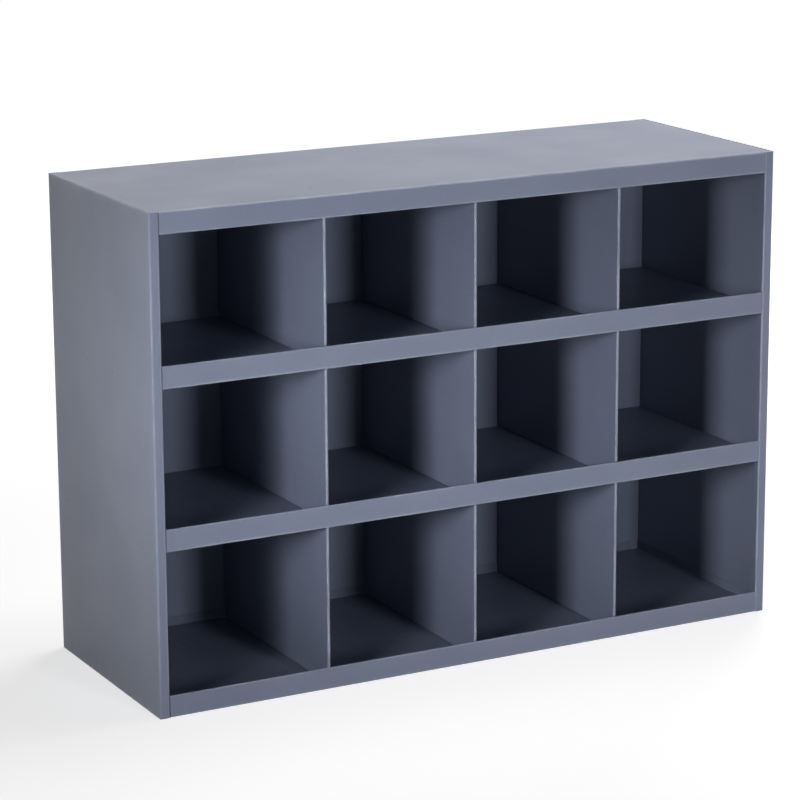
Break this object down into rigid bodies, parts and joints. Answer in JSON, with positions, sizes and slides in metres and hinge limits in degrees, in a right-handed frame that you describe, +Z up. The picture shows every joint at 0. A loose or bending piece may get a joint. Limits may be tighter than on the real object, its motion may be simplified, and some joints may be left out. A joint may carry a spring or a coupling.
{
  "type": "pigeonhole mail sorter",
  "caption": "Open-fronted sheet-steel pigeonhole sorter: a folded case with shelves, retaining lips and upright dividers, standing on its base.",
  "frame": {"origin": "middle of the base, on the surface the sorter stands on", "axes": "+X to the right as seen from the open front, +Y towards the back panel, +Z up"},
  "size_m": [0.8572, 0.3048, 0.6064],
  "materials": {
    "case_paint": "satin blue-grey powder coat",
    "shelf_paint": "satin blue-grey powder coat",
    "back_paint": "satin blue-grey powder coat",
    "divider_paint": "satin blue-grey powder coat",
    "weld_paint": "satin blue-grey powder coat"
  },
  "bodies": {
    "root": {"left_side_panel": "case_paint", "right_side_panel": "case_paint", "top_panel": "case_paint", "bottom_shelf": "shelf_paint", "lower_shelf": "shelf_paint", "upper_shelf": "shelf_paint", "back_panel": "back_paint", "bottom_row_divider_1": "divider_paint", "bottom_row_divider_2": "divider_paint", "bottom_row_divider_3": "divider_paint", "middle_row_divider_1": "divider_paint", "middle_row_divider_2": "divider_paint", "middle_row_divider_3": "divider_paint", "top_row_divider_1": "divider_paint", "top_row_divider_2": "divider_paint", "top_row_divider_3": "divider_paint", "left_side_welds": "weld_paint", "right_side_welds": "weld_paint", "back_frame_welds": "weld_paint", "shelf_back_welds": "weld_paint", "divider_floor_welds": "weld_paint", "divider_back_welds": "weld_paint"}
  },
  "joints": []
}
